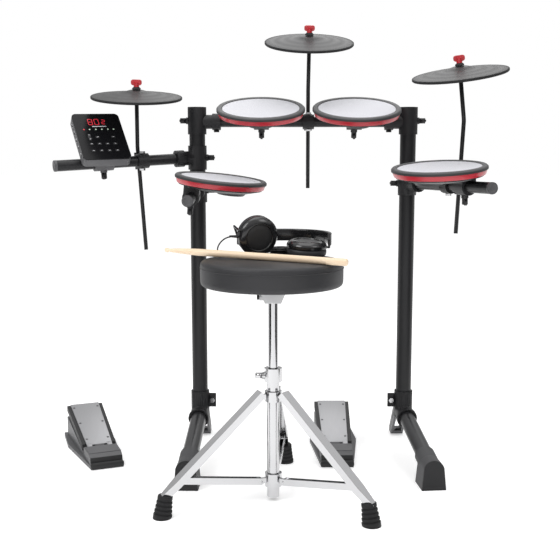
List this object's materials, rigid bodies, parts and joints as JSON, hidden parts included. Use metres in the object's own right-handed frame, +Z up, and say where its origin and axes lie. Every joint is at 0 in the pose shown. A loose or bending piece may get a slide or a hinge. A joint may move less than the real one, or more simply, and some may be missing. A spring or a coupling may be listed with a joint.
{
  "type": "electronic drum kit",
  "caption": "Electronic drum kit: tube rack with mesh pads, rubber cymbals and sound module, two foot pedals, padded throne, stick and corded headphones.",
  "frame": {"origin": "bottom centre of the bounding box of the whole kit without its cord, at floor level", "axes": "+X to the player's right, +Y away from the player, +Z up"},
  "size_m": [1.0749, 0.6718, 1.043],
  "materials": {
    "rack_metal": "satin black paint",
    "leg_metal": "satin dark grey paint",
    "fitting_plastic": "fine-grained black moulding",
    "boot_rubber": "matte black",
    "pad_shell": "matte black moulding",
    "pad_hoop": "red, satin to gloss",
    "pad_mesh": "white woven mesh",
    "cymbal_rubber": "dark grey with fine turned rings",
    "nut_plastic": "red",
    "rod_metal": "satin black",
    "module_plastic": "dark grey moulding",
    "module_face": "gloss black front",
    "key_rubber": "dark grey, matte",
    "pedal_plastic": "mid grey moulding",
    "pedal_plate": "silver grey, brushed",
    "throne_metal": "bright plated steel",
    "seat_leather": "black, grained",
    "stick_wood": "pale, lightly lacquered",
    "headphone_plastic": "gloss black",
    "cord_rubber": "black"
  },
  "bodies": {
    "rack": {"rack_posts": "rack_metal", "crossbar": "rack_metal", "top_tees": "fitting_plastic", "base_fittings": "fitting_plastic", "front_legs": "leg_metal", "leg_boots": "boot_rubber", "centre_rod_clamp": "fitting_plastic", "pedal_bases": "pedal_plastic", "pedal_pins": "throne_metal", "throne_column": "throne_metal", "throne_hubs": "throne_metal", "throne_legs": "throne_metal", "throne_braces": "throne_metal", "throne_feet": "boot_rubber", "fasteners": "throne_metal"},
    "left_arm": {"left_arm": "rack_metal", "left_arm_clamps": "fitting_plastic"},
    "snare_arm": {"snare_arm": "rack_metal", "snare_arm_tee": "fitting_plastic"},
    "right_arm": {"right_arm": "rack_metal", "right_arm_clamps": "fitting_plastic"},
    "left_tom": {"left_tom_shell": "pad_shell", "left_tom_hoop": "pad_hoop", "left_tom_head": "pad_mesh"},
    "right_tom": {"right_tom_shell": "pad_shell", "right_tom_hoop": "pad_hoop", "right_tom_head": "pad_mesh"},
    "snare": {"snare_shell": "pad_shell", "snare_hoop": "pad_hoop", "snare_head": "pad_mesh"},
    "floor_tom": {"floor_tom_shell": "pad_shell", "floor_tom_hoop": "pad_hoop", "floor_tom_head": "pad_mesh"},
    "centre_rod": {"centre_rod": "rod_metal", "centre_wing_nut": "nut_plastic"},
    "centre_cymbal": {"centre_cymbal": "cymbal_rubber"},
    "left_rod": {"left_rod": "rod_metal", "left_wing_nut": "nut_plastic"},
    "left_cymbal": {"left_cymbal": "cymbal_rubber"},
    "right_rod": {"right_rod": "rod_metal", "right_wing_nut": "nut_plastic"},
    "right_cymbal": {"right_cymbal": "cymbal_rubber"},
    "module": {"module_case": "module_plastic", "module_panel": "module_face"},
    "volume_key": {"volume_key": "key_rubber"},
    "side_keys": {"side_keys": "key_rubber"},
    "upper_keys": {"upper_keys": "key_rubber"},
    "lower_keys": {"lower_keys": "key_rubber"},
    "left_pedal": {"left_footboard": "pedal_plate"},
    "right_pedal": {"right_footboard": "pedal_plate"},
    "seat_post": {"seat_tube": "throne_metal"},
    "seat": {"seat_bracket": "throne_metal", "seat_cushion": "seat_leather", "drumstick": "stick_wood", "headband": "headphone_plastic", "headphone_cord": "cord_rubber", "headphone_coil": "cord_rubber", "headphone_plug": "headphone_plastic"},
    "left_ear_cup": {"left_ear_cup": "headphone_plastic"},
    "right_ear_cup": {"right_ear_cup": "headphone_plastic"}
  },
  "joints": [
    {"name": "left_arm_swing", "type": "hinge", "parent": "rack", "child": "left_arm", "pos_m": [-0.16751, 0.18491, 0.731], "axis": [0, 0, 1], "range_deg": [-10, 10]},
    {"name": "snare_arm_swing", "type": "hinge", "parent": "rack", "child": "snare_arm", "pos_m": [-0.16751, 0.18491, 0.652], "axis": [0, 0, 1], "range_deg": [-10, 10]},
    {"name": "right_arm_swing", "type": "hinge", "parent": "rack", "child": "right_arm", "pos_m": [0.34449, 0.18491, 0.669], "axis": [0, 0, 1], "range_deg": [-10, 10]},
    {"name": "left_tom_tilt", "type": "hinge", "parent": "rack", "child": "left_tom", "pos_m": [-0.01151, 0.18491, 0.817], "axis": [1, 0, 0], "range_deg": [-10, 10]},
    {"name": "right_tom_tilt", "type": "hinge", "parent": "rack", "child": "right_tom", "pos_m": [0.21349, 0.18491, 0.817], "axis": [1, 0, 0], "range_deg": [-10, 10]},
    {"name": "snare_tilt", "type": "hinge", "parent": "snare_arm", "child": "snare", "pos_m": [-0.16751, 0.01414, 0.64305], "axis": [0, -0.9986, -0.0523], "range_deg": [-10, 10]},
    {"name": "floor_tom_tilt", "type": "hinge", "parent": "right_arm", "child": "floor_tom", "pos_m": [0.43885, -0.04983, 0.669], "axis": [0.373, -0.9278, 0], "range_deg": [-10, 10]},
    {"name": "centre_rod_slide", "type": "slide", "parent": "rack", "child": "centre_rod", "axis": [0, 0, 1], "range_m": [-0.04, 0.06]},
    {"name": "centre_cymbal_rock", "type": "hinge", "parent": "centre_rod", "child": "centre_cymbal", "pos_m": [0.10351, 0.17516, 1.01438], "axis": [0.9999, 0.0032, -0.0101], "range_deg": [-6, 6], "stiffness_Nm_per_rad": 2},
    {"name": "left_rod_slide", "type": "slide", "parent": "left_arm", "child": "left_rod", "axis": [-0.0656, 0, 0.9978], "range_m": [-0.005, 0.04]},
    {"name": "left_cymbal_rock", "type": "hinge", "parent": "left_rod", "child": "left_cymbal", "pos_m": [-0.30334, 0.12144, 0.88355], "axis": [0.9995, 0.0057, -0.0299], "range_deg": [-6, 6], "stiffness_Nm_per_rad": 2},
    {"name": "right_rod_slide", "type": "slide", "parent": "right_arm", "child": "right_rod", "axis": [0.0469, 0, 0.9989], "range_m": [-0.04, 0.04]},
    {"name": "right_cymbal_rock", "type": "hinge", "parent": "right_rod", "child": "right_cymbal", "pos_m": [0.43093, -0.00057, 0.92693], "axis": [0.9899, -0.0273, 0.1391], "range_deg": [-6, 6], "stiffness_Nm_per_rad": 2},
    {"name": "module_tilt", "type": "hinge", "parent": "left_arm", "child": "module", "pos_m": [-0.37731, 0.07755, 0.71865], "axis": [-0.889, -0.4549, -0.0523], "range_deg": [-10, 10]},
    {"name": "volume_key_rock", "type": "hinge", "parent": "module", "child": "volume_key", "pos_m": [-0.40509, 0.06775, 0.77695], "axis": [0.9015, 0.4319, 0.0262], "range_deg": [-3, 3], "stiffness_Nm_per_rad": 0.02},
    {"name": "side_keys_press", "type": "slide", "parent": "module", "child": "side_keys", "axis": [0.2889, -0.6459, 0.7066], "range_m": [-0.0006, 0], "stiffness_N_per_m": 600, "springref_m": 0.0006},
    {"name": "upper_keys_press", "type": "slide", "parent": "module", "child": "upper_keys", "axis": [0.2889, -0.6459, 0.7066], "range_m": [-0.0006, 0], "stiffness_N_per_m": 600, "springref_m": 0.0006},
    {"name": "lower_keys_press", "type": "slide", "parent": "module", "child": "lower_keys", "axis": [0.2889, -0.6459, 0.7066], "range_m": [-0.0006, 0], "stiffness_N_per_m": 600, "springref_m": 0.0006},
    {"name": "left_pedal_press", "type": "hinge", "parent": "rack", "child": "left_pedal", "pos_m": [-0.4108, 0.11295, 0.027], "axis": [0.9252, 0.3795, 0], "range_deg": [-4, 0], "stiffness_Nm_per_rad": 12, "springref_deg": 9.74},
    {"name": "right_pedal_press", "type": "hinge", "parent": "rack", "child": "right_pedal", "pos_m": [0.17049, 0.12791, 0.027], "axis": [1, 0, 0], "range_deg": [-4, 0], "stiffness_Nm_per_rad": 12, "springref_deg": 9.74},
    {"name": "seat_height", "type": "slide", "parent": "rack", "child": "seat_post", "axis": [0, 0, 1], "range_m": [-0.1, 0.012]},
    {"name": "seat_swivel", "type": "hinge", "parent": "seat_post", "child": "seat", "pos_m": [0.01899, -0.17009, 0.431], "axis": [0, 0, 1], "continuous": true},
    {"name": "left_ear_cup_turn", "type": "hinge", "parent": "seat", "child": "left_ear_cup", "pos_m": [-0.01243, -0.13659, 0.56683], "axis": [0.8628, 0.3958, -0.3146], "range_deg": [-3, 6], "deforming": ["headphone_cord"]},
    {"name": "right_ear_cup_turn", "type": "hinge", "parent": "seat", "child": "right_ear_cup", "pos_m": [0.09079, -0.12145, 0.54829], "axis": [-0.912, 0.4042, 0.0699], "range_deg": [0, 6]}
  ]
}
